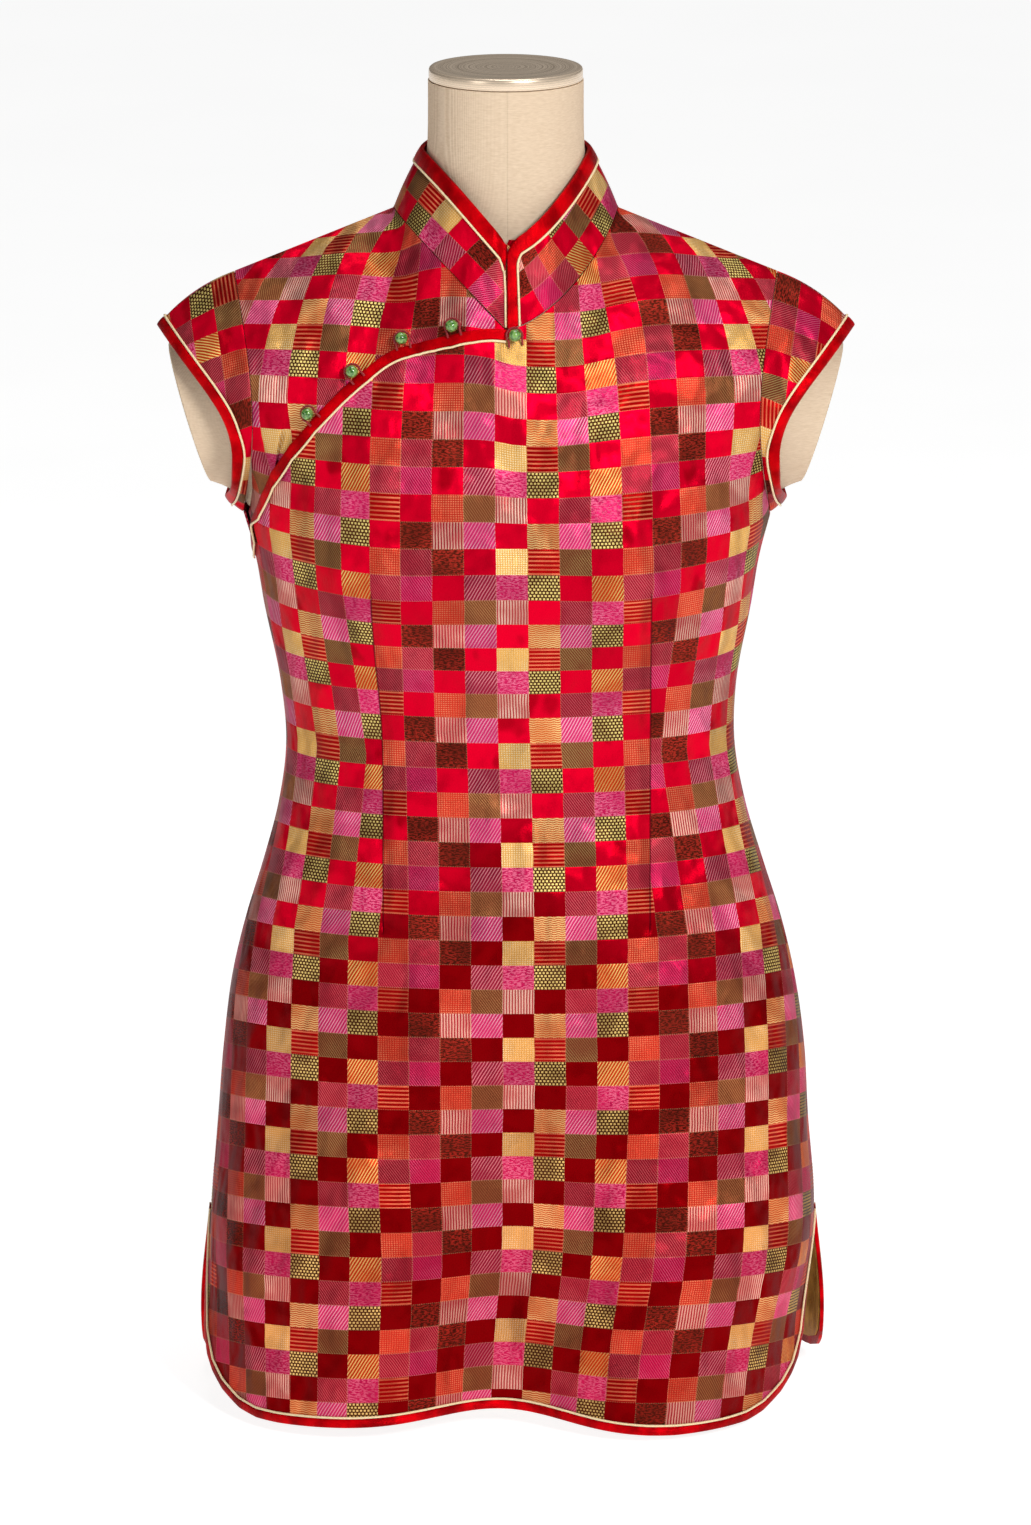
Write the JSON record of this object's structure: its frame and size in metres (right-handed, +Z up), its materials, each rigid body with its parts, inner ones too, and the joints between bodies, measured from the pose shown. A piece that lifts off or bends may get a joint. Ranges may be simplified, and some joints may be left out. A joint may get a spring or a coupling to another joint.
{
  "type": "cheongsam dress on dress form",
  "caption": "Short cap-sleeve cheongsam with stand collar, curved side opening and side slits, dressed on a limbless fabric dress form with steel neck cap.",
  "frame": {"origin": "on the floor, at the middle of the dress form's flat base, in line with the side seams", "axes": "+Z up, -Y towards the front of the dress, +X towards the wearer's left"},
  "size_m": [0.4828, 0.2892, 0.945],
  "materials": {
    "brocade": "patchwork check satin brocade",
    "binding_satin": "red satin binding",
    "piping": "ivory-gold corded piping",
    "lining": "gold satin lining",
    "jade": "polished green stone bead",
    "form_linen": "beige linen over a hard body",
    "cap_steel": "brushed"
  },
  "bodies": {
    "root": {"front_panel": "brocade", "back_panel": "brocade", "underlap": "brocade", "sleeve_left": "brocade", "sleeve_right": "brocade", "collar": "brocade", "collar_binding": "binding_satin", "collar_piping": "piping", "collar_tab": "binding_satin", "opening_binding": "binding_satin", "opening_piping": "piping", "armhole_left_binding": "binding_satin", "armhole_left_piping": "piping", "armhole_right_binding": "binding_satin", "armhole_right_piping": "piping", "front_hem_binding": "binding_satin", "front_hem_piping": "piping", "back_hem_binding": "binding_satin", "back_hem_piping": "piping", "back_lining": "lining", "form_torso": "form_linen", "form_neck_cap": "cap_steel", "button_1": "jade", "button_loop_1": "binding_satin", "button_2": "jade", "button_loop_2": "binding_satin", "button_3": "jade", "button_loop_3": "binding_satin", "button_4": "jade", "button_loop_4": "binding_satin", "button_5": "jade", "button_loop_5": "binding_satin"}
  },
  "joints": []
}
